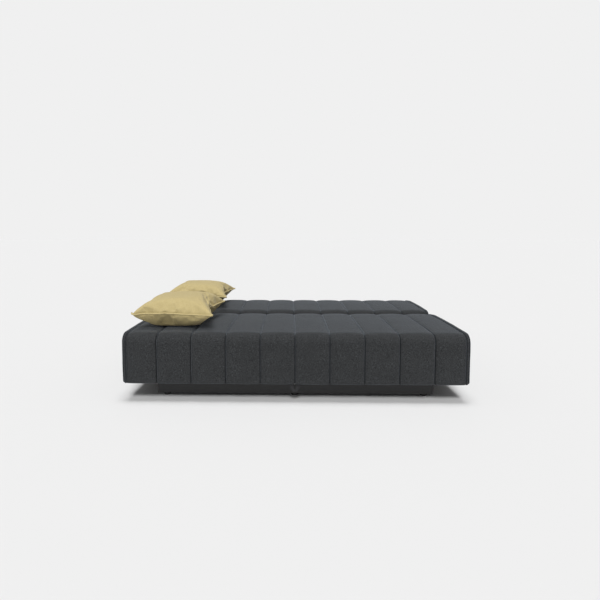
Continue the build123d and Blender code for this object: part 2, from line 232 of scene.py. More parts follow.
def bell(distance: np.ndarray, width: float) -> np.ndarray:
    """A soft bump: 1 where the distance is zero, dying away over the width."""
    return np.exp(-((distance / width) ** 2))


def wander(points: np.ndarray, size: float, seed: float) -> np.ndarray:
    """Smooth noise between -1 and 1 at each point.

    Args:
        points: Places, one row of three each.
        size: Length over which the noise changes.
        seed: Shift that gives another field.

    Returns:
        One value for each point.
    """
    flat = points.reshape(-1, 3) / size + seed
    values = [noise.noise(Vector(row)) for row in flat.tolist()]
    return np.array(values).reshape(points.shape[:-1])


# Finishes


@dataclass(frozen=True)
class Finish:
    """A surface finish: its name, its slot in the record, and its shader."""

    name: str
    slot: str
    colour: str
    roughness: float

    def material(self) -> bpy.types.Material:
        """The finish as a Blender material, made once.

        Returns:
            The material.
        """
        found = bpy.data.materials.get(self.name)
        if found:
            return found
        material = bpy.data.materials.new(self.name)
        material.use_nodes = True
        tree = material.node_tree
        tree.nodes.clear()
        shader = add_node(tree, "ShaderNodeBsdfPrincipled", {"Roughness": self.roughness})
        add_node(tree, "ShaderNodeOutputMaterial", {"Surface": shader.outputs[0]})
        self.wire(tree, shader)
        return material

    def wire(self, tree: Tree, shader: bpy.types.Node) -> None:
        """Give the shader its colour, grain and relief; each kind of finish has its own way.

        Args:
            tree: Tree of the material.
            shader: Its shader.
        """
        raise NotImplementedError

    def lay(
        self, shader: bpy.types.Node, colour: Socket, height: Socket, relief: tuple[float, float], even: dict
    ) -> None:
        """Join colour, relief and even values to the shader.

        Args:
            shader: The finish's shader.
            colour: Colour socket.
            height: Height socket of the relief.
            relief: Strength of the relief, and its depth in metres.
            even: Values that are the same all over, by the shader's own sockets.
        """
        tree = shader.id_data
        strength, depth = relief
        bump = add_node(tree, "ShaderNodeBump", {"Strength": strength, "Distance": depth, "Height": height})
        tree.links.new(colour, shader.inputs["Base Color"])
        tree.links.new(bump.outputs[0], shader.inputs["Normal"])
        for name, value in even.items():
            shader.inputs[name].default_value = value

    def dress(self, piece: Piece) -> Piece:
        """Give a piece this finish.

        Args:
            piece: The piece.

        Returns:
            The same piece.
        """
        piece.data.materials.clear()
        piece.data.materials.append(self.material())
        return piece


def places(tree: Tree, scale: tuple[float, float, float] = (1, 1, 1), cloth: bool = False) -> Socket:
    """Coordinates of the surface, stretched.

    Args:
        tree: Tree of the material.
        scale: Stretch along each axis.
        cloth: Whether the piece's cloth map is read and not its place.

    Returns:
        The vector socket.
    """
    if cloth:
        source = add_node(tree, "ShaderNodeUVMap", uv_map="cloth").outputs["UV"]
    else:
        source = add_node(tree, "ShaderNodeTexCoord").outputs["Object"]
    return add_node(tree, "ShaderNodeMapping", {"Vector": source, "Scale": scale}).outputs[0]


def patches(tree: Tree, vector: Socket, size: float, detail: float, *spans: tuple) -> list[Socket]:
    """Soft spots over the surface, and shares drawn from them.

    Args:
        tree: Tree of the material.
        vector: Coordinates that the spots lie in.
        size: How far across a spot is, in those coordinates.
        detail: How many finer layers the spots have.
        spans: For each share, two values of the spots and then what the share is at each.

    Returns:
        The spots, then the shares.
    """
    settings = {"Vector": vector, "Scale": 1 / size, "Detail": detail, "Roughness": 0.6}
    sockets = [add_node(tree, "ShaderNodeTexNoise", settings).outputs[0]]
    for span in spans:
        limits = dict(enumerate((sockets[0], *span)))
        share = add_node(tree, "ShaderNodeMapRange", limits, interpolation_type="SMOOTHSTEP")
        sockets.append(share.outputs[0])
    return sockets


def threads(tree: Tree, spacing: float, directions: str = "XY") -> Socket:
    """Height of parallel threads, a little uneven, or of a plain weave where they run both ways.

    Args:
        tree: Tree of the material.
        spacing: Distance from thread to thread, in metres.
        directions: Axes of the cloth along which the threads follow each other.

    Returns:
        The height socket.
    """
    # At a scale of 1 a wave repeats every tau / 20.
    shape = {"Vector": places(tree, cloth=True), "Scale": math.tau / 20 / spacing}
    shape |= {"Distortion": 0.6, "Detail": 1.0, "Detail Scale": 0.4}
    waves = []
    for axis in directions:
        waves.append(add_node(tree, "ShaderNodeTexWave", shape, bands_direction=axis).outputs["Fac"])
    if len(waves) == 1:
        return waves[0]
    return add_node(tree, "ShaderNodeMath", dict(enumerate(waves)), operation="MULTIPLY").outputs[0]


def layered(
    tree: Tree, colour: str | Socket, layers: list[tuple[float | Socket, str | Socket]]
) -> Socket:
    """Lay colours over each other.

    Args:
        tree: Tree of the material.
        colour: Lowest colour, as a hex code or a socket.
        layers: Share and colour of each layer, from the lowest up.

    Returns:
        The colour socket.
    """
    for share, over in layers:
        under, over = (linear(item) if isinstance(item, str) else item for item in (colour, over))
        colour = add_node(tree, "ShaderNodeMix", {0: share, 6: under, 7: over}, data_type="RGBA").outputs[2]
    return colour


@dataclass(frozen=True)
class FeltedWool(Finish):
    """Felted wool-blend upholstery, spun from dark and pale fibre: a matt mottled grey with a soft
    bloom at grazing angles. The flecks are 2 mm in the real cloth and drawn at 5 mm so they show."""

    dark: str = "#212223"
    pale: str = "#575a5d"
    # Colour of the painted shade laid into the seam grooves, by each vertex's stored share.
    painted_shade_colour: str = "#060607"
    bloom: str = "#c4ced9"
    fleck: float = 5 * MM
    cloud: float = 90 * MM
    thread: float = 2.6 * MM
    hair: float = 1.6 * MM

    def wire(self, tree: Tree, shader: bpy.types.Node) -> None:
        """Mottled fibre colour, a faint weave and a fuzzy sheen.

        Args:
            tree: Tree of the material.
            shader: Its shader.
        """
        place = places(tree)
        _, body, flecks = patches(tree, place, self.fleck, 6.0, (0.36, 0.5, 0.0, 1.0), (0.55, 0.74, 0.0, 0.8))
        _, cloud = patches(tree, place, self.cloud, 2.0, (0.3, 0.7, 0.0, 0.18))
        # Painted shade: the cloth is darkened towards a near-black colour where it lies deep in a seam.
        fold = add_node(tree, "ShaderNodeAttribute", attribute_name="fold").outputs["Fac"]
        layers = [(body, self.colour), (flecks, self.pale), (cloud, self.dark), (fold, self.painted_shade_colour)]
        hairs = patches(tree, place, self.hair, 3.0)[0]
        fuzz = add_node(tree, "ShaderNodeMath", {0: threads(tree, self.thread), 1: hairs}, operation="ADD")
        even = {"Sheen Weight": 0.48, "Sheen Roughness": 0.42, "Specular IOR Level": 0.2}
        even["Sheen Tint"] = linear(self.bloom)
        self.lay(shader, layered(tree, self.dark, layers), fuzz.outputs[0], (0.5, 0.5 * MM), even)


@dataclass(frozen=True)
class SlubLinen(Finish):
    """Mustard linen-blend pillow cloth with uneven yarns, which give short pale and dark streaks
    both ways. The yarns are 0.8 mm in the real cloth and drawn at 2 mm so they show."""

    dark: str = "#a18c55"
    pale: str = "#cfc297"
    # Colour of the painted shade laid along the pillow's seam, by each vertex's stored share.
    painted_shade_colour: str = "#4a3d1c"
    yarn: float = 2.0 * MM
    slub: float = 26 * MM

    def wire(self, tree: Tree, shader: bpy.types.Node) -> None:
        """Streaks along both yarns, a plain weave and a faint sheen.

        Args:
            tree: Tree of the material.
            shader: Its shader.
        """
        reach = (1 / self.yarn, 1 / self.slub)
        streaks = []
        for stretch in (reach, reach[::-1]):
            place = places(tree, (*stretch, 1), cloth=True)
            streaks.append(patches(tree, place, 1.0, 2.0, (0.34, 0.7, 0.25, 0.75)))
        across, along = (layered(tree, self.dark, [(share, self.pale)]) for _, share in streaks)
        # Painted shade: the cloth is darkened along the seam, where shade falls under the cord.
        fold = add_node(tree, "ShaderNodeAttribute", attribute_name="fold").outputs["Fac"]
        colour = layered(tree, across, [(0.5, along), (0.45, self.colour), (fold, self.painted_shade_colour)])
        weave = {0: threads(tree, self.yarn), 1: streaks[0][0]}
        rough = add_node(tree, "ShaderNodeMath", weave, operation="ADD").outputs[0]
        even = {"Sheen Weight": 0.12, "Sheen Roughness": 0.5, "Specular IOR Level": 0.25}
        self.lay(shader, colour, rough, (0.45, 0.4 * MM), even)


@dataclass(frozen=True)
class WovenTape(Finish):
    """Polyester webbing, woven with a rib across it: dull, with fine ridges 2 mm apart."""

    rib: float = 2 * MM
    pale: str = "#3c3c40"

    def wire(self, tree: Tree, shader: bpy.types.Node) -> None:
        """Ribs in colour and relief.

        Args:
            tree: Tree of the material.
            shader: Its shader.
        """
        ribs = threads(tree, self.rib, "Y")
        limits = {0: ribs, 1: 0.2, 2: 0.9}
        share = add_node(tree, "ShaderNodeMapRange", limits, interpolation_type="SMOOTHSTEP").outputs[0]
        self.lay(shader, layered(tree, self.colour, [(share, self.pale)]), ribs, (0.6, 0.4 * MM), {})


@dataclass(frozen=True)
class Grained(Finish):
    """A finish whose colour varies softly over a grain and whose surface has a fine relief.

    grain is the size of the spots in metres and stretch draws them out along an axis, as sawn
    timber needs; relief is the height of the fine texture in metres, and polish is how far the
    roughness changes over the grain.
    """

    other: str = "#808080"
    grain: float = 4 * MM
    stretch: tuple[float, float, float] = (1, 1, 1)
    relief: float = 0.1 * MM
    metallic: float = 0.0
    polish: float = 0.08

    def wire(self, tree: Tree, shader: bpy.types.Node) -> None:
        """Two tones over the grain, roughness that follows it, and its relief.

        Args:
            tree: Tree of the material.
            shader: Its shader.
        """
        smoother, rougher = self.roughness - self.polish, self.roughness + self.polish
        spans = (0.3, 0.7, 0.0, 1.0), (0.3, 0.7, smoother, min(rougher, 1.0))
        spots, share, roughness = patches(tree, places(tree, self.stretch), self.grain, 4.0, *spans)
        tree.links.new(roughness, shader.inputs["Roughness"])
        colour = layered(tree, self.colour, [(share, self.other)])
        self.lay(shader, colour, spots, (0.5, self.relief), {"Metallic": self.metallic})


QUILT = FeltedWool("felted_wool_quilt", "quilt_cloth", "#353637", 0.95)
EDGING = FeltedWool("felted_wool_edging", "welt_cloth", "#323335", 0.95, dark="#202122", pale="#4a4d50")
LINEN = SlubLinen("mustard_slub_linen", "pillow_cloth", "#bdad7c", 0.9)
CORDING = SlubLinen(
    "mustard_bias_cording", "pillow_cloth", "#c3b381", 0.85, dark="#ab975f", pale="#d6ca9f", slub=9 * MM
)
# Polyurethane foam, cut from a block: open cells, chalky.
FOAM = Grained("cut_polyurethane_foam", "foam", "#d8cfae", 0.95, "#e6dfc6", 3 * MM, relief=0.6 * MM)
# Spunbonded polypropylene under the frame: thin, black, with a faint fibre mottle.
SPUNBOND = Grained("spunbond_polypropylene", "dust_cloth", "#151516", 0.8, "#232325", 3 * MM, relief=0.2 * MM)
# Rubber-cored webbing in black: flat and dull, with its ribs across the band.
SPRING_TAPE = WovenTape("elastic_seat_webbing", "webbing", "#1d1d1f", 0.8)
# Polyester pull webbing: finer ribs and a slight gloss on the yarn.
PULL_TAPE = WovenTape("polyester_pull_webbing", "strap_webbing", "#0e0e10", 0.7, rib=1.6 * MM, pale="#26262a")
# Pine, sawn and unfinished: grain drawn out along the board.
PINE = Grained("sawn_pine", "frame_timber", "#b58e5c", 0.75, "#dcbd8b", 6 * MM, (0.06, 1, 1), 0.3 * MM)
# Particle board with a dark melamine face: flat, a little satin, with a fine pore print.
MELAMINE = Grained(
    "dark_melamine_board", "plinth_board", "#151516", 0.55, "#1b1b1c", 5 * MM, (0.15, 1, 1), 0.05 * MM
)
# Moulded nylon: even black with a light spark texture.
NYLON = Grained("moulded_black_nylon", "black_plastic", "#141415", 0.45, "#1b1b1c", 0.8 * MM)
# Zinc-plated steel: pale, with the faint spangle and yellowing of the plating.
ZINC = Grained(
    "zinc_plated_steel", "zinc_steel", "#aeb0b0", 0.35, "#c4c4bd", 7 * MM, relief=0.02 * MM, metallic=1.0
)
# Powder-coated steel: black with orange peel.
POWDER = Grained(
    "black_powder_coated_steel", "black_steel", "#161617", 0.5, "#1c1c1d", 1.5 * MM, relief=0.05 * MM
)
# Moulded rubber: dull black, dusty.
RUBBER = Grained("moulded_rubber", "foot_rubber", "#19191a", 0.85, "#29292a")
# Twisted polyester thread: a little paler than the cloth, with a dull twist.
THREAD = Grained("polyester_thread", "quilt_cloth", "#33363a", 0.6, "#4a4e53", 1 * MM, relief=0.05 * MM)


# Repeating small pieces, by Geometry Nodes


@dataclass(frozen=True)
class Dash:
    """A stitch or a staple: its finish, the distance to the next, its sizes and how they vary."""

    finish: Finish
    pitch: float
    length: float
    thickness: float
    unevenness: float = 0.1


STITCH = Dash(THREAD, 7 * MM, 5.6 * MM, 1.1 * MM)
STAPLE = Dash(ZINC, 45 * MM, 10 * MM, 0.8 * MM)


class DashRow:
    """A row of stitches or staples along lines, made by a node tree."""

    def __init__(self) -> None:
        """Build the tree with its named inputs."""
        tree = bpy.data.node_groups.new("dash_row", "GeometryNodeTree")
        sockets = {"Lines": "Geometry", "Pitch": "Float", "Length": "Float", "Thickness": "Float"}
        for name, kind in (sockets | {"Unevenness": "Float", "Material": "Material"}).items():
            tree.interface.new_socket(name, in_out="INPUT", socket_type=f"NodeSocket{kind}")
        tree.interface.new_socket("Geometry", in_out="OUTPUT", socket_type="NodeSocketGeometry")
        given = add_node(tree, "NodeGroupInput").outputs
        curve = add_node(tree, "GeometryNodeMeshToCurve", {"Mesh": given["Lines"]}).outputs[0]
        spacing = {"Curve": curve, "Length": given["Pitch"]}
        points = add_node(tree, "GeometryNodeResampleCurve", spacing, mode="LENGTH").outputs[0]
        tangent = add_node(tree, "GeometryNodeInputTangent").outputs[0]
        turn = add_node(tree, "FunctionNodeAlignRotationToVector", {"Vector": tangent}, axis="X").outputs[0]
        unit_ball = {"Segments": 6, "Rings": 4, "Radius": 0.5}
        ball = add_node(tree, "GeometryNodeMeshUVSphere", unit_ball).outputs[0]
        around_one = {0: 1, 1: given["Unevenness"]}
        least = add_node(tree, "ShaderNodeMath", around_one, operation="SUBTRACT").outputs[0]
        most = add_node(tree, "ShaderNodeMath", around_one, operation="ADD").outputs[0]
        limits = {"Min": least, "Max": most, "Seed": 7}
        chance = add_node(tree, "FunctionNodeRandomValue", limits, data_type="FLOAT_VECTOR").outputs[0]
        sides = {"X": given["Length"], "Y": given["Thickness"], "Z": given["Thickness"]}
        size = add_node(tree, "ShaderNodeCombineXYZ", sides).outputs[0]
        size = add_node(tree, "ShaderNodeVectorMath", {0: size, 1: chance}, operation="MULTIPLY").outputs[0]
        spread = {"Points": points, "Instance": ball, "Rotation": turn, "Scale": size}
        dashes = add_node(tree, "GeometryNodeInstanceOnPoints", spread).outputs[0]
        solid = add_node(tree, "GeometryNodeRealizeInstances", {"Geometry": dashes}).outputs[0]
        coat = {"Geometry": solid, "Material": given["Material"]}
        done = add_node(tree, "GeometryNodeSetMaterial", coat).outputs[0]
        add_node(tree, "NodeGroupOutput", {"Geometry": done})
        self.tree = tree

    def along(self, name: str, lines: list[np.ndarray], dash: Dash) -> Piece:
        """Lay dashes along lines and turn them into one plain mesh.

        Args:
            name: Name of the piece.
            lines: Point rows of each line.
            dash: The stitch or staple.

        Returns:
            The finished piece.
        """
        points, edges = [], []
        for line in lines:
            start = len(points)
            points += [tuple(point) for point in line.tolist()]
            edges += [(start + index, start + index + 1) for index in range(len(line) - 1)]
        mesh = bpy.data.meshes.new(name + "_lines")
        mesh.from_pydata(points, edges, [])
        carrier = new_object(name + "_lines", mesh)
        modifier = carrier.modifiers.new("dashes", "NODES")
        modifier.node_group = self.tree
        values = {"Pitch": dash.pitch, "Length": dash.length, "Thickness": dash.thickness}
        values |= {"Unevenness": dash.unevenness, "Material": dash.finish.material()}
        for item in self.tree.interface.items_tree:
            if item.name in values:
                modifier[item.identifier] = values[item.name]
        made = baked(carrier)
        made.name = name
        bpy.data.objects.remove(carrier)
        made.shade_smooth()
        return dash.finish.dress(new_object(name, made))


DASHES = DashRow()


def finish_padded(piece: Piece, finish: Finish, node: str, body: str) -> Piece:
    """Dress a padded piece, let it stand for its node and let it move with its body.

    Args:
        piece: The piece.
        finish: Its finish.
        node: The part's solid that it replaces.
        body: The body that carries it.

    Returns:
        The piece.
    """
    finish.dress(piece)
    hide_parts(node)
    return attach(piece, body)


# The upholstered blocks


@dataclass(frozen=True)
class BlockOutline:
    """Side view of a block in Y and Z, as corners with roundings."""

    front: float
    rear: float
    bottom: float = 110 * MM
    top: float = 411 * MM
    foot_round: float = 12 * MM
    front_round: float = 58 * MM
    rear_round: float = 50 * MM
    crown_rise: float = 4 * MM
    crown_share: float = 0.48
    crown_round_share: float = 7.2
    fall: float = 17 * MM
    fall_run: float = 120 * MM
    fall_round: float = 500 * MM
    line_step: float = 9 * MM
    arc_step: float = 6 * MM

    def corners(self) -> list[tuple[tuple[float, float], float]]:
        """The corners before they are rounded, clockwise from the front foot, with their radii.

        Returns:
            Place and radius of each.
        """
        shoulder = self.top - self.crown_rise
        depth = self.rear - self.front
        return [
            ((self.front, self.bottom), self.foot_round),
            ((self.front, shoulder), self.front_round),
            ((self.front + self.crown_share * depth, self.top), self.crown_round_share * depth),
            ((self.rear - self.fall_run, shoulder), self.fall_round),
            ((self.rear, shoulder - self.fall), self.rear_round),
            ((self.rear, self.bottom), self.foot_round),
        ]

    def loop(self) -> np.ndarray:
        """Points round the whole outline, from the middle of the bottom forwards and up.

        Returns:
            One row for each point.
        """
        middle = np.array([(self.front + self.rear) / 2, self.bottom])
        corners = [np.array(corner) for corner, _ in self.corners()]
        pieces, last = [], middle
        radii = [radius for _, radius in self.corners()]
        for before, corner, after, radius in zip([middle, *corners], corners, [*corners[1:], middle], radii):
            inward = (before - corner) / np.linalg.norm(before - corner)
            onward = (after - corner) / np.linalg.norm(after - corner)
            half = math.acos(float(np.clip(inward @ onward, -1, 1))) / 2
            reach = radius / math.tan(half)
            start, end = corner + inward * reach, corner + onward * reach
            centre = corner + (inward + onward) / np.linalg.norm(inward + onward) * radius / math.sin(half)
            pieces.append(self.straight(last, start))
            first = math.atan2(*(start - centre)[::-1])
            sweep = math.atan2(*(end - centre)[::-1]) - first
            sweep = (sweep + math.pi) % math.tau - math.pi
            steps = max(2, math.ceil(abs(sweep) * radius / self.arc_step))
            angles = first + sweep * np.arange(steps) / steps
            pieces.append(centre + radius * np.stack([np.cos(angles), np.sin(angles)], 1))
            last = end
        pieces.append(self.straight(last, middle))
        return np.concatenate(pieces)

    def straight(self, start: np.ndarray, end: np.ndarray) -> np.ndarray:
        """Points from start up to but without end."""
        steps = max(1, math.ceil(np.linalg.norm(end - start) / self.line_step))
        return start + (end - start) * (np.arange(steps) / steps)[:, None]

    @staticmethod
    def normals(points: np.ndarray) -> np.ndarray:
        """Outward directions of a closed row of points."""
        along = np.roll(points, -1, 0) - np.roll(points, 1, 0)
        along /= np.linalg.norm(along, axis=1)[:, None]
        return np.stack([-along[:, 1], along[:, 0]], 1)

    def inset(self, depth: float) -> np.ndarray:
        """The closed outline drawn in evenly.

        The lower corners are tighter than most depths, so there the points also slide along, or
        they would cross.

        Args:
            depth: How far it is drawn in.

        Returns:
            Points, as many as the outline has.
        """
        loop = self.loop()
        normals = self.normals(loop)
        near = min(depth, 0.8 * self.foot_round)
        middle = np.array([(self.front + self.rear) / 2, (self.bottom + self.top) / 2])
        reach = middle - (self.front + self.foot_round, self.bottom + self.foot_round)
        share = np.clip((middle - loop) / reach, -1, 1)
        lower = loop - normals * near + share * (depth - near)
        return np.where(loop[:, 1:] < middle[1], lower, loop - normals * depth)

    def wall(self, lap: float) -> tuple[np.ndarray, np.ndarray, np.ndarray]:
        """The outline without the middle of its bottom, for a cover that is open below.

        Args:
            lap: How far the cover turns in under the block.

        Returns:
            Points, outward directions and lengths along the cloth.
        """
        points = self.loop()
        normals = self.normals(points)
        low = points[:, 1] < self.bottom + 0.001 * MM
        inside = (points[:, 0] > self.front + lap) & (points[:, 0] < self.rear - lap)
        keep = np.where(~(low & inside))[0]
        ends = np.array([[self.front + lap, self.bottom], [self.rear - lap, self.bottom]])
        points = np.concatenate([ends[:1], points[keep], ends[1:]])
        normals = np.concatenate([[[0, -1]], normals[keep], [[0, -1]]])
        run = np.concatenate([[0], np.cumsum(np.linalg.norm(np.diff(points, axis=0), axis=1))])
        return points, normals, run


@dataclass
class QuiltedBlock:
    """One upholstered block: its quilted cover, welts, end panels, foam, webbing and dust cover."""

    body: str
    outline: BlockOutline
    seed: float
    half_width: float = 1.0
    channels: int = 10
    cover_end: float = 978 * MM
    panel_inner: float = 991 * MM
    wall: float = 17 * MM
    foot_round: float = 20 * MM
    foot_fade: float = 60 * MM
    # Each channel dips towards its seams, most of it close to them, and is never quite even.
    dip: float = 8.5 * MM
    dip_gentle: float = 0.45
    swell: float = 0.8 * MM
    swell_size: float = 170 * MM
    # A seam: its groove, the fold of cloth lapped over it, the stitched line beside it, puckers.
    groove: float = 5.5 * MM
    groove_reach: float = 3.0 * MM
    lap_rise: float = 2.0 * MM
    lap_offset: float = 5 * MM
    lap_reach: float = 2.6 * MM
    stitch_groove: float = 1.3 * MM
    stitch_offset: float = 8.8 * MM
    stitch_reach: float = 1.8 * MM
    stitch_side: float = 950 * MM
    stitch_proud: float = 0.1 * MM
    pucker: float = 2.2 * MM
    pucker_length: float = 26 * MM
    pucker_reach: float = 20 * MM
    # The cover is drawn tight to the frame over its lowest part, where it is stapled.
    hem: float = 12 * MM
    hem_fade: float = 30 * MM
    hem_sinking: float = 0.25
    hem_lift: float = 2 * MM
    hem_points: int = 4
    # Pockets round the hinge eyes at the crease.
    hinge_side: float = 945 * MM
    hinge_axis: tuple[float, float] = (50 * MM, 372 * MM)
    pocket: float = 9 * MM
    pocket_half: float = 8 * MM
    pocket_radius: float = 42 * MM
    pocket_fade: float = 22 * MM
    # The welt's rounding and the depth of its seam allowance.
    welt_inset: float = 1.2 * MM
    welt_bulge: float = 6.2 * MM
    welt_leg: float = 14 * MM
    # The cloth of both ends is pulled in by up to twice end_pull, changing over end_pull_size.
    end_pull: float = 2 * MM
    end_pull_size: float = 90 * MM
    # The end panel's rim and its stitched groove, as X and inset in mm, then its hollow face.
    panel_rim: tuple[tuple[float, float], ...] = (
        (978.3, 14), (990, 14), (991.2, 7), (991.8, 4), (993.5, 3), (995.8, 3.6), (997.8, 5.4), (999.3, 8),
        (1000, 11),
    )
    panel_groove: tuple[tuple[float, float], ...] = (
        (999.8, 14), (998.7, 17), (998.4, 18.5), (998.7, 20), (999.8, 23)
    )
    panel_shares: tuple[float, ...] = (0.95, 0.88, 0.8, 0.7, 0.6, 0.5, 0.4, 0.3, 0.2, 0.1, 0.04)
    panel_hollow: float = 4 * MM
    panel_hollow_reach: float = 0.43
    panel_swell: float = 0.7 * MM
    panel_swell_size: float = 120 * MM
    # What lies inside and below: foam, webbing, and the dust cover with its staples.
    foam_cell: float = 13 * MM
    bands: int = 9
    band_width: float = 60 * MM
    band_skin: float = 0.1 * MM
    dust_tuck: tuple[float, float, float] = (5 * MM, 3 * MM, 0)
    dust_thickness: float = 0.5 * MM
    dust_slack: float = 0.25 * MM
    dust_slack_size: float = 60 * MM
    staple_inset: float = 16 * MM
    # Columns of the cover's mesh beside each seam, in mm.
    offsets: tuple[float, ...] = (0, 1.2, 2.4, 3.8, 5.4, 7, 8.8, 12, 18, 26, 38, 55, 76, 100)

    def columns(self) -> tuple[np.ndarray, np.ndarray, np.ndarray]:
        """X of each column of the cover's mesh.

        Returns:
            The places, the share of each across its channel, and its distance to the next seam,
            below zero left of the seam.
        """
        pitch = 2 * self.half_width / self.channels
        near = np.array(self.offsets) * MM
        across = np.concatenate([near, pitch - near[-2::-1]])
        xs, shares, seams = [], [], []
        for index in range(self.channels):
            left = -self.half_width + index * pitch
            low, high = max(left, -self.cover_end), min(left + pitch, self.cover_end)
            for offset in across if index == self.channels - 1 else across[:-1]:
                share = offset / pitch
                x = low + share * (high - low)
                xs.append(x)
                shares.append(share)
                seams.append(x - low if share < 0.5 else x - high)
        return np.array(xs), np.array(shares), np.array(seams)

    def sinking(
        self, xs: np.ndarray, shares: np.ndarray, seams: np.ndarray, run: np.ndarray, base: np.ndarray
    ) -> np.ndarray:
        """How far the cover lies inside the block's outline.

        Args:
            xs: X of each column.
            shares: Share of each column across its channel.
            seams: Distance of each column to the next seam.
            run: Length along the cloth at each point of a column.
            base: Places on the outline, a row for each column.

        Returns:
            The depth at each place.
        """
        level = np.abs(2 * shares - 1)
        sunk = self.dip * (self.dip_gentle * level**2 + (1 - self.dip_gentle) * level**6)
        sunk += self.groove * bell(seams, self.groove_reach)
        sunk += self.stitch_groove * bell(seams - self.stitch_offset, self.stitch_reach)
        sunk -= self.lap_rise * bell(seams - self.lap_offset, self.lap_reach)
        # Each seam reads its own line of the noise, so no two have the same puckers.
        lines = grid_places(np.round(xs, 1) * 9, run / self.pucker_length, 0.0)
        away = np.abs(seams)
        near = np.exp(-away / self.pucker_reach) * (1 - np.exp(-away / self.groove_reach))
        puckers = (wander(lines, 1.0, self.seed) + 0.5) * near[:, None] * self.pucker
        swell = (wander(base, self.swell_size, self.seed + 5) + 1) * self.swell
        return sunk[:, None] + np.maximum(puckers, 0) + swell + self.hinge_pocket(base)

    def hinge_pocket(self, base: np.ndarray) -> np.ndarray:
        """How far the cover is tucked in round the hinge eyes at the crease.

        Args:
            base: Places on the block's outline.

        Returns:
            The depth at each place.
        """
        side = np.abs(np.abs(base[..., 0]) - self.hinge_side)
        beside = np.clip(1 - (side - self.pocket_half) / self.pocket_fade, 0, 1)
        away = np.hypot(base[..., 1] - self.hinge_axis[0], base[..., 2] - self.hinge_axis[1])
        return self.pocket * beside * np.clip((self.pocket_radius - away) / self.pocket_fade, 0, 1)

    def build_cover(self) -> list[Piece]:
        """The quilted cover with its channels, and the stitches beside its seams.

        Returns:
            The finished pieces.
        """
        points, normals, run = self.outline.wall(self.wall)
        xs, shares, seams = self.columns()
        base = np.empty((len(xs), len(points), 3))
        base[..., 0] = xs[:, None]
        base[..., 1:] = points
        normal = np.zeros_like(base)
        normal[..., 1:] = normals
        hem = np.clip((run - self.hem) / self.hem_fade, 0, 1)
        hem *= np.clip((run[-1] - self.hem - run) / self.hem_fade, 0, 1)
        sunk = self.sinking(xs, shares, seams, run, base) * (self.hem_sinking + (1 - self.hem_sinking) * hem)
        outer = base - normal * sunk[..., None]
        inner = base - normal * self.wall
        for end in (0, -1):
            inner[:, end] = base[:, end] + (0, 0, self.hem_lift)
        columns = 2 * len(points)
        section = np.concatenate([outer, inner[:, ::-1]], 1)
        faces = grid_faces(len(xs), columns, wrap_columns=True)
        for start in (0, (len(xs) - 1) * columns):
            for i in range(len(points) - 1):
                faces.append((start + i, start + i + 1, start + columns - 2 - i, start + columns - 1 - i))
        cloth = grid_places(xs, np.concatenate([run, run[::-1]]))
        cover = mesh_piece(f"{self.body}_quilted_cover", section, faces, cloth)
        # Painted shade: the groove is darkened strongly and the stitched line a little, standing in for the
        # shade that falls in them.
        fold = 0.95 * bell(seams, 4.2 * MM) + 0.25 * bell(seams - self.stitch_offset, 2.0 * MM)
        paint_seam_shade(cover, fold, columns)
        finish_padded(cover, QUILT, f"{self.body}_cover", self.body)
        stitched = (np.abs(seams - self.stitch_offset) < 0.3 * MM) & (np.abs(xs) < self.stitch_side)
        proud = outer + normal * self.stitch_proud
        lines = [proud[i, self.hem_points : -self.hem_points] for i in np.where(stitched)[0]]
        stitches = DASHES.along(f"{self.body}_seam_stitches", lines, STITCH)
        return [cover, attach(stitches, self.body)]

    def draw_in(self, points: np.ndarray, side: Side) -> None:
        """Pull an end's cloth in unevenly and round its lower corner, in place.

        Args:
            points: Vertex places, the last axis holding X, Y and Z.
            side: The end that they belong to.
        """
        flat = points * (0, 1, 1) + (side.value, 0, 0)
        points[..., 0] -= side.value * (wander(flat, self.end_pull_size, self.seed + 2) + 1) * self.end_pull
        over = np.clip((np.abs(points[..., 0]) - (self.half_width - self.foot_round)) / self.foot_round, 0, 1)
        lift = self.foot_round * (1 - np.sqrt(1 - over**2))
        points[..., 2] += lift * np.clip(1 - (points[..., 2] - self.outline.bottom) / self.foot_fade, 0, 1)

    def build_welt(self, side: Side) -> Piece:
        """The rounded welt between the cover and an end panel.

        Args:
            side: The end that it goes to.

        Returns:
            The finished piece.
        """
        points, normals, run = self.outline.wall(self.wall)
        shape = np.linspace(-1, 1, 11)
        middle = (self.cover_end + self.panel_inner) / 2
        half = (self.panel_inner - self.cover_end) / 2
        xs = np.concatenate([middle + half * shape, [self.panel_inner, self.cover_end]])
        insets = self.welt_inset + self.welt_bulge * np.abs(shape) ** 3
        insets = np.concatenate([insets, [self.welt_leg, self.welt_leg]])
        section = np.empty((len(xs), len(points), 3))
        section[..., 0] = side.value * xs[:, None]
        section[..., 1:] = points[None] - normals[None] * insets[:, None, None]
        section[:, 0, 2] = section[:, -1, 2] = self.outline.bottom + insets
        self.draw_in(section, side)
        rows, columns = len(xs), len(points)
        faces = grid_faces(rows, columns, wrap_rows=True)
        faces.append(tuple(row * columns for row in range(rows)))
        faces.append(tuple(row * columns + columns - 1 for row in reversed(range(rows))))
        name = side.name.lower()
        welt = mesh_piece(f"{self.body}_edge_welt_{name}", section, faces, grid_places(xs, run))
        # Painted shade along the welt's edges, where it tucks in between the cover and the end panel.
        paint_seam_shade(welt, np.concatenate([np.abs(shape) ** 6 * 0.95, [1, 1]]), columns)
        return finish_padded(welt, EDGING, f"{self.body}_welt_{name}", self.body)

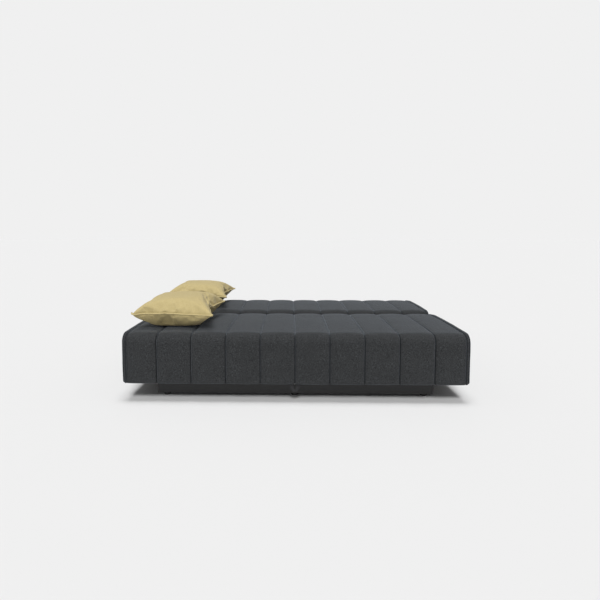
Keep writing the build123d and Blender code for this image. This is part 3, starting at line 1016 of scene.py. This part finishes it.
    def build_panel(self, side: Side) -> list[Piece]:
        """The padded panel that closes an end, and the stitches round its rim.

        Args:
            side: The end that they go to.

        Returns:
            The finished pieces.
        """
        outline = self.outline
        centre = np.array([(outline.front + outline.rear) / 2, (outline.bottom + outline.top) / 2])
        rings = [(x * MM, outline.inset(inset * MM)) for x, inset in self.panel_rim + self.panel_groove]
        edge = rings[-1][1]
        rings += [(self.half_width, centre + (edge - centre) * share) for share in self.panel_shares]
        rows, columns, inner = len(rings), len(edge), len(self.panel_rim)
        points = np.empty((rows, columns, 3))
        points[..., 0] = np.array([x for x, _ in rings])[:, None]
        points[..., 1:] = [ring for _, ring in rings]
        face = points[inner:]
        level = (face[..., 2] - centre[1]) / (self.panel_hollow_reach * (outline.top - outline.bottom))
        face[..., 0] -= self.panel_hollow * np.maximum(0, 1 - level**2)
        swell = wander(face, self.panel_swell_size, self.seed + side.value) + 1
        face[..., 0] -= swell * self.panel_swell
        points[..., 0] *= side.value
        self.draw_in(points, side)
        faces = grid_faces(rows, columns, wrap_columns=True)
        faces.append(tuple(range(columns)))
        faces.append(tuple((rows - 1) * columns + i for i in reversed(range(columns))))
        name = side.name.lower()
        panel = mesh_piece(f"{self.body}_padded_end_{name}", points, faces, points[..., 1:].copy())
        # Painted shade in the rim's seam next to the welt and in the stitched groove.
        depth = np.zeros(rows)
        depth[:4] = (1, 1, 0.9, 0.5)
        depth[inner + 1 : inner + 4] = (0.35, 0.7, 0.35)
        paint_seam_shade(panel, depth, columns)
        finish_padded(panel, EDGING, f"{self.body}_end_panel_{name}", self.body)
        row = points[inner + 2]
        closed = np.concatenate([row, row[:1]])
        stitches = DASHES.along(f"{self.body}_rim_stitches_{name}", [closed], STITCH)
        return [panel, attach(stitches, self.body)]

    def build_foam(self) -> Piece:
        """The foam core, remeshed so that its cut edges soften.

        Returns:
            The finished piece.
        """
        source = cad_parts[f"{self.body}_foam"]
        core = new_object(f"{self.body}_foam_core", source.data.copy())
        work = bmesh.new()
        work.from_mesh(core.data)
        bmesh.ops.remove_doubles(work, verts=work.verts, dist=0.001 * MM)
        work.to_mesh(core.data)
        work.free()
        core.modifiers.new("cells", "REMESH").voxel_size = self.foam_cell
        core.data = baked(core)
        core.modifiers.clear()
        core.data.shade_smooth()
        return finish_padded(core, FOAM, f"{self.body}_foam", self.body)

    def build_webbing(self) -> Piece:
        """The webbing bands, one mesh, stretched from rail to rail.

        Returns:
            The finished piece.
        """
        low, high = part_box(f"{self.body}_webbing")
        pitch = (high.x - low.x - self.band_width) / (self.bands - 1)
        across, along = np.linspace(0, self.band_width, 5), np.linspace(low.y, high.y, 60)
        rows, columns = 2 * len(across), len(along)
        band_faces = grid_faces(rows, columns, wrap_rows=True)
        band_faces += [tuple(row * columns + end for row in range(rows)) for end in (0, columns - 1)]
        points, faces = [], []
        for band in range(self.bands):
            x = low.x + band * pitch + across
            points.append(grid_places(x, along, high.z - self.band_skin))
            points.append(grid_places(x[::-1], along, low.z + self.band_skin))
            faces += [tuple(band * rows * columns + i for i in face) for face in band_faces]
        points = np.concatenate(points)
        piece = mesh_piece(f"{self.body}_webbing_bands", points, faces, points[..., :2].copy())
        piece.data.shade_flat()
        SPRING_TAPE.dress(piece)
        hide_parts(f"{self.body}_webbing")
        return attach(piece, self.body)

    def build_dust_cover(self) -> list[Piece]:
        """The thin cloth under the frame, slightly slack between its staples.

        Returns:
            The cloth and its staples.
        """
        low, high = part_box(f"{self.body}_dust_cover")
        tuck = Vector(self.dust_tuck)
        low, high = low - tuck, high + tuck
        rows, columns = 150, 54
        xs, ys = np.linspace(low.x, high.x, rows), np.linspace(low.y, high.y, columns)
        under = grid_places(xs, ys, low.z + 0.2 * MM)
        under[..., 2] += (wander(under, self.dust_slack_size, self.seed + 9) + 1) * self.dust_slack
        points = np.concatenate([under, under + (0, 0, self.dust_thickness)])
        name = f"{self.body}_underside_cloth"
        sheet = mesh_piece(name, points, sheet_faces(rows, columns), points[..., :2].copy())
        SPUNBOND.dress(sheet)
        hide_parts(f"{self.body}_dust_cover")
        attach(sheet, self.body)
        xs = low.x + self.staple_inset, high.x - self.staple_inset
        ys = low.y + self.staple_inset, high.y - self.staple_inset
        line = np.array([(xs[i], ys[j], low.z) for i, j in ((0, 0), (1, 0), (1, 1), (0, 1), (0, 0))])
        staples = DASHES.along(f"{self.body}_staples", [line], STAPLE)
        return [sheet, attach(staples, self.body)]

    def build(self) -> list[Piece]:
        """Every soft piece of the block.

        Returns:
            The finished pieces.
        """
        pieces = self.build_cover()
        for side in Side:
            pieces.append(self.build_welt(side))
            pieces += self.build_panel(side)
        pieces += [self.build_foam(), self.build_webbing()]
        return pieces + self.build_dust_cover()


# The pillows


@dataclass
class Pillow:
    """A loose square pillow: two squares of cloth sewn together round a cord, and stuffed.

    turn says which corner of the cloth lies where, so that two pillows don't show the same folds.
    """

    body: str
    turn: tuple[int, int]
    seed: float
    cells: int = 64
    flat_side: float = 520 * MM
    # Height of the middle before it is stuffed, and the slight creases that it starts with.
    first_rise: float = 30 * MM
    crease: float = 2 * MM
    crease_size: float = 60 * MM
    steps: int = 28
    quick_rise: float = 92 * MM
    quick_waist: float = 0.07
    # How much of the upper half is as round as a sine, and how much deeper the lower half is made
    # before it flattens on what it rests on, over a soft edge.
    fullness: float = 0.9
    sag: float = 1.22
    soft_edge: float = 14 * MM
    # The cord, how much it swells where it turns a corner and over how many steps, and the cloth
    # used up at each step.
    cord_radius: float = 4.2 * MM
    cord_sides: int = 10
    knot: float = 0.7
    knot_steps: float = 1.2
    cord_step: float = 7 * MM

    def blank(self) -> tuple[np.ndarray, Faces, list[int], np.ndarray]:
        """The two flat squares, sewn at their edge and slightly apart.

        Returns:
            Points, faces, the seam's vertices in order, and the depth of each vertex in the seam.
        """
        count = self.cells + 1
        axis = np.linspace(-1, 1, count)
        share = grid_places(axis, axis).reshape(-1, 2)
        rise = (1 - share[:, :1] ** 2) * (1 - share[:, 1:] ** 2) * self.first_rise
        top = np.hstack([share * self.flat_side / 2, rise])
        index = np.arange(count * count).reshape(count, count)
        inner = index[1:-1, 1:-1].ravel()
        lower = index.copy()
        lower[1:-1, 1:-1] = count * count + np.arange(len(inner)).reshape(count - 2, count - 2)
        points = np.concatenate([top, top[inner] * (1, 1, -1)])
        creases = wander(points, self.crease_size, self.seed) * self.crease
        points[:, 2] += creases * (np.abs(points[:, 2]) > 0.01 * MM)
        faces = []
        for i in range(self.cells):
            for j in range(self.cells):
                faces.append((index[i, j], index[i + 1, j], index[i + 1, j + 1], index[i, j + 1]))
                faces.append((lower[i, j], lower[i, j + 1], lower[i + 1, j + 1], lower[i + 1, j]))
        faces = [tuple(int(corner) for corner in face) for face in faces]
        seam = rim(index)
        # Painted shade, a little, along the seam on both faces.
        shade_shares = np.zeros(len(points))
        shade_shares[seam] = 0.1
        shade_shares[rim(lower[1:-1, 1:-1])] = 0.12
        return points, faces, seam, shade_shares

    def inflate(self, piece: Piece) -> None:
        """Stuff the pillow by a cloth simulation and keep its result.

        Args:
            piece: The two squares sewn together.
        """
        modifier = piece.modifiers.new("stuffing", "CLOTH")
        cloth = {"quality": 7, "mass": 0.25, "air_damping": 2, "bending_stiffness": 0.4}
        cloth |= {"tension_stiffness": 40, "compression_stiffness": 40, "shear_stiffness": 12}
        pressure = {"use_pressure": True, "uniform_pressure_force": 4}
        for name, value in (cloth | pressure).items():
            setattr(modifier.settings, name, value)
        modifier.settings.effector_weights.gravity = 0
        modifier.collision_settings.use_collision = False
        modifier.point_cache.frame_end = self.steps
        for step in range(1, self.steps + 1):
            bpy.context.scene.frame_set(step)
        piece.data = baked(piece)
        piece.modifiers.clear()
        bpy.context.scene.frame_set(1)

    def settle(self, points: np.ndarray, seam: list[int]) -> np.ndarray:
        """Fit the stuffed shape to the part's pillow and flatten it where it lies.

        Args:
            points: Vertex places after stuffing.
            seam: The seam's vertices.

        Returns:
            The places in the part's frame.
        """
        low, high = (np.array(corner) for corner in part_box(self.body))
        points = points * (*self.turn, 1)
        points[:, 2] -= points[seam, 2].mean()
        least, most = points[:, :2].min(0), points[:, :2].max(0)
        points[:, :2] = (points[:, :2] - (most + least) / 2) * ((high - low)[:2] / (most - least))
        half = (high[2] - low[2]) / 2
        upper = points[:, 2] > 0
        share = points[upper, 2] / points[:, 2].max()
        points[upper, 2] = half * (self.fullness * np.sin(share * math.pi / 2) + (1 - self.fullness) * share)
        points[~upper, 2] *= half * self.sag / -points[:, 2].min()
        depth = points[:, 2] + half
        edge = 2 * self.soft_edge
        eased = edge * np.exp(np.minimum(depth, edge) / self.soft_edge - 2)
        points[:, 2] = np.maximum(np.where(depth > edge, depth, eased) - half, -half)
        return points + (low + high) / 2

    def build(self) -> list[Piece]:
        """The stuffed pillow and the cord in its seam.

        Returns:
            The finished pieces.
        """
        points, faces, seam, shade_shares = self.blank()
        cloth = points[:, :2] + 0.3
        cloth[(self.cells + 1) ** 2 :] += 0.7
        pillow = mesh_piece(f"{self.body}_cushion", points, faces, cloth)
        self.inflate(pillow)
        settled = self.settle(mesh_points(pillow.data), seam)
        pillow.data.vertices.foreach_set("co", settled.astype(np.float32).ravel())
        pillow.data.update()
        paint_seam_shade(pillow, shade_shares)
        smooth = pillow.modifiers.new("finer", "SUBSURF")
        smooth.levels = smooth.render_levels = 1
        pillow.data = baked(pillow)
        pillow.modifiers.clear()
        pillow.data.shade_smooth()
        finish_padded(pillow, LINEN, self.body, self.body)
        return [pillow, self.build_cord(settled[seam])]

    def build_cord(self, seam: np.ndarray) -> Piece:
        """The cord sewn into the seam, as a closed tube that swells a little at the corners.

        Args:
            seam: Places along the seam.

        Returns:
            The finished piece.
        """
        line = seam
        for _ in range(2):
            line = (np.roll(line, 1, 0) + 2 * line + np.roll(line, -1, 0)) / 4
        along = np.roll(line, -1, 0) - np.roll(line, 1, 0)
        along /= np.linalg.norm(along, axis=1)[:, None]
        out = np.cross(along, (0, 0, 1.0))
        out /= np.linalg.norm(out, axis=1)[:, None]
        out *= np.sign(((line - seam.mean(0)) * out).sum(1))[:, None]
        over = np.cross(out, along)
        line = line + out * self.cord_radius * 0.8
        angles = np.arange(self.cord_sides) / self.cord_sides * math.tau
        corner = np.abs((np.arange(len(line)) + self.cells / 2) % self.cells - self.cells / 2)
        radius = (self.cord_radius * (1 + self.knot * bell(corner, self.knot_steps)))[:, None, None]
        circle = np.stack([np.cos(angles), np.sin(angles)], 1)[None, :, :, None]
        rings = line[:, None] + radius * (circle * np.stack([out, over], 1)[:, None]).sum(2)
        run = np.arange(1, len(line) + 1) * self.cord_step
        faces = grid_faces(len(line), self.cord_sides, wrap_rows=True, wrap_columns=True)
        cord = mesh_piece(f"{self.body}_seam_cord", rings, faces, grid_places(run, angles * self.cord_radius))
        return finish_padded(cord, CORDING, f"{self.body}_piping", self.body)


# The pull strap


@dataclass
class PullStrap:
    """Webbing that hangs in a V under the seat's front edge, its two ends crossed at the tip."""

    body: str = "pull_strap"
    spread: float = 80 * MM
    band: float = 25 * MM
    tip: float = 24 * MM
    tip_band: float = 15 * MM
    thickness: float = 1.1 * MM
    overlap: float = 0.62 * MM
    hem: float = 1.2 * MM
    wave: float = 0.25 * MM

    def build_band(self, side: Side) -> Piece:
        """One side of the V.

        Args:
            side: The side that it is fastened on.

        Returns:
            The finished piece.
        """
        low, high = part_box(self.body)
        top = high.z - self.hem
        rows, columns = 14, 7
        shares, across = np.linspace(0, 1, rows)[:, None], np.linspace(0, 1, columns)
        width = self.band + (self.tip_band - self.band) * shares
        x = self.spread / 2 + (self.tip / 2 - self.spread / 2) * shares - width * across
        y = (low.y + high.y) / 2 + side.value * self.overlap - self.thickness / 2 + 0 * x
        y += self.wave * np.sin(shares * 7) * shares * (1 - shares)
        front = np.stack([side.value * x, y, top + (low.z - top) * shares + 0 * x], -1)
        points = np.concatenate([front, front + (0, self.thickness, 0)])
        name = f"pull_band_{side.name.lower()}"
        band = mesh_piece(name, points, sheet_faces(rows, columns), points[..., ::2].copy())
        band.data.shade_flat()
        PULL_TAPE.dress(band)
        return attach(band, self.body)

    def build(self) -> list[Piece]:
        """Both bands, one behind the other."""
        pieces = [self.build_band(side) for side in Side]
        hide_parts("pull_strap")
        return pieces


# Rigid pieces, which keep their CAD meshes


@dataclass(frozen=True)
class RigidPieces:
    """Finishes of the plinth, frame and fittings, by the first word here that is in their name."""

    rules: tuple[tuple[str, Finish], ...] = (
        ("rear_leg_feet", RUBBER),
        ("rear_leg_pins", ZINC),
        ("hinge_arm", POWDER),
        ("hinge_", ZINC),
        ("slider", ZINC),
        ("strap_anchor", ZINC),
        ("runner", POWDER),
        ("rear_leg", POWDER),
        ("glides", NYLON),
        ("rest_pads", NYLON),
        ("plinth", MELAMINE),
        ("rail", PINE),
    )

    def dress(self) -> list[Piece]:
        """Give every rigid node that still shows its finish.

        Returns:
            The dressed nodes.
        """
        dressed = []
        for name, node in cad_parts.items():
            if not node.hide_render:
                finish = next(finish for word, finish in self.rules if word in name)
                dressed.append(finish.dress(node))
        return dressed


# Floor, light and camera


@dataclass(frozen=True)
class Studio:
    """Plain pale studio: an even floor, soft light from above and the photograph's camera."""

    paper_colour: str = "#f0f0f0"
    floor_albedo: str = "#e4e4e4"
    floor_half: float = 60.0
    # Strengths, then for each lamp how wide it looks from the floor and how far it leans to the
    # front, in degrees.
    sky: float = 0.19
    sun: tuple[float, float, float] = (1.58, 26, 4)
    key: tuple[float, float, float] = (1.78, 16, 42)
    fill: tuple[float, float, float] = (0.2, 40, 80)
    # The camera as it was solved: film and lens in mm, shift in film widths, turns in degrees.
    film: float = 36.0
    lens: float = 24.62
    shift: tuple[float, float] = (0.0285, -0.0644)
    stand: tuple[float, float, float] = (-0.0302, -2.9508, 0.9838)
    turns: tuple[float, float, float] = (85.976, 0, 0.974)

    def build(self) -> None:
        """Make the floor, the lights and the camera."""
        scene = bpy.context.scene
        scene.view_settings.view_transform = "Standard"
        self.build_floor()
        self.build_sky(scene)
        for name, lamp in (("soft_sun", self.sun), ("front_key", self.key), ("front_fill", self.fill)):
            self.build_lamp(name, *lamp)
        self.build_camera(scene)

    def build_floor(self) -> None:
        """A wide flat floor."""
        mesh = bpy.data.meshes.new("floor")
        far = self.floor_half
        mesh.from_pydata([(-far, -far, 0), (far, -far, 0), (far, far, 0), (-far, far, 0)], [], [(0, 1, 2, 3)])
        material = bpy.data.materials.new("studio_paper")
        material.use_nodes = True
        shader = material.node_tree.nodes["Principled BSDF"]
        shader.inputs["Base Color"].default_value = linear(self.floor_albedo)
        shader.inputs["Roughness"].default_value = 1.0
        shader.inputs["Specular IOR Level"].default_value = 0.0
        mesh.materials.append(material)
        new_object("floor", mesh)

    def build_sky(self, scene: bpy.types.Scene) -> None:
        """A dim even sky, which the camera and gloss see as pale paper.

        Args:
            scene: Scene that it goes into.
        """
        world = bpy.data.worlds.new("studio")
        world.use_nodes = True
        tree = world.node_tree
        tree.nodes.clear()
        light = add_node(tree, "ShaderNodeBackground", {"Color": (1, 1, 1, 1), "Strength": self.sky})
        seen = add_node(tree, "ShaderNodeBackground", {"Color": linear(self.paper_colour), "Strength": 1.0})
        path = add_node(tree, "ShaderNodeLightPath").outputs
        rays = {0: path["Is Camera Ray"], 1: path["Is Glossy Ray"]}
        either = add_node(tree, "ShaderNodeMath", rays, operation="MAXIMUM").outputs[0]
        mix = add_node(tree, "ShaderNodeMixShader", {0: either, 1: light.outputs[0], 2: seen.outputs[0]})
        add_node(tree, "ShaderNodeOutputWorld", {"Surface": mix.outputs[0]})
        scene.world = world

    def build_lamp(self, name: str, strength: float, width: float, lean: float) -> None:
        """A distant soft lamp.

        Args:
            name: Name of the lamp.
            strength: Its strength.
            width: How wide it looks from the floor, in degrees.
            lean: How far it leans to the front, in degrees.
        """
        light = bpy.data.lights.new(name, "SUN")
        light.energy = strength
        light.angle = math.radians(width)
        new_object(name, light).rotation_euler = (math.radians(lean), 0, 0)

    def build_camera(self, scene: bpy.types.Scene) -> None:
        """The camera, solved from the photograph.

        Args:
            scene: Scene that looks through it.
        """
        data = bpy.data.cameras.new("camera")
        data.sensor_width, data.lens = self.film, self.lens
        data.shift_x, data.shift_y = self.shift
        camera = new_object("camera", data)
        camera.location = self.stand
        camera.rotation_euler = [math.radians(turn) for turn in self.turns]
        scene.camera = camera


def main() -> None:
    """Build and dress the sofa bed, then the studio round it."""
    logging.basicConfig(level=logging.INFO, format="%(name)s %(message)s")
    seat = QuiltedBlock("seat", BlockOutline(-650 * MM, 48.5 * MM), 1.3)
    back = QuiltedBlock("back", BlockOutline(51.5 * MM, 650 * MM), 4.7)
    front = Pillow("front_pillow", (1, 1), 2.1)
    rear = Pillow("rear_pillow", (-1, -1), 7.9)
    for part in (seat, back, front, rear, PullStrap()):
        for piece in part.build():
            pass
    for piece in RigidPieces().dress():
        log.info("%s: %s", piece.name, piece.data.materials[0].name)
    Studio().build()


if __name__ == "__main__":
    main()
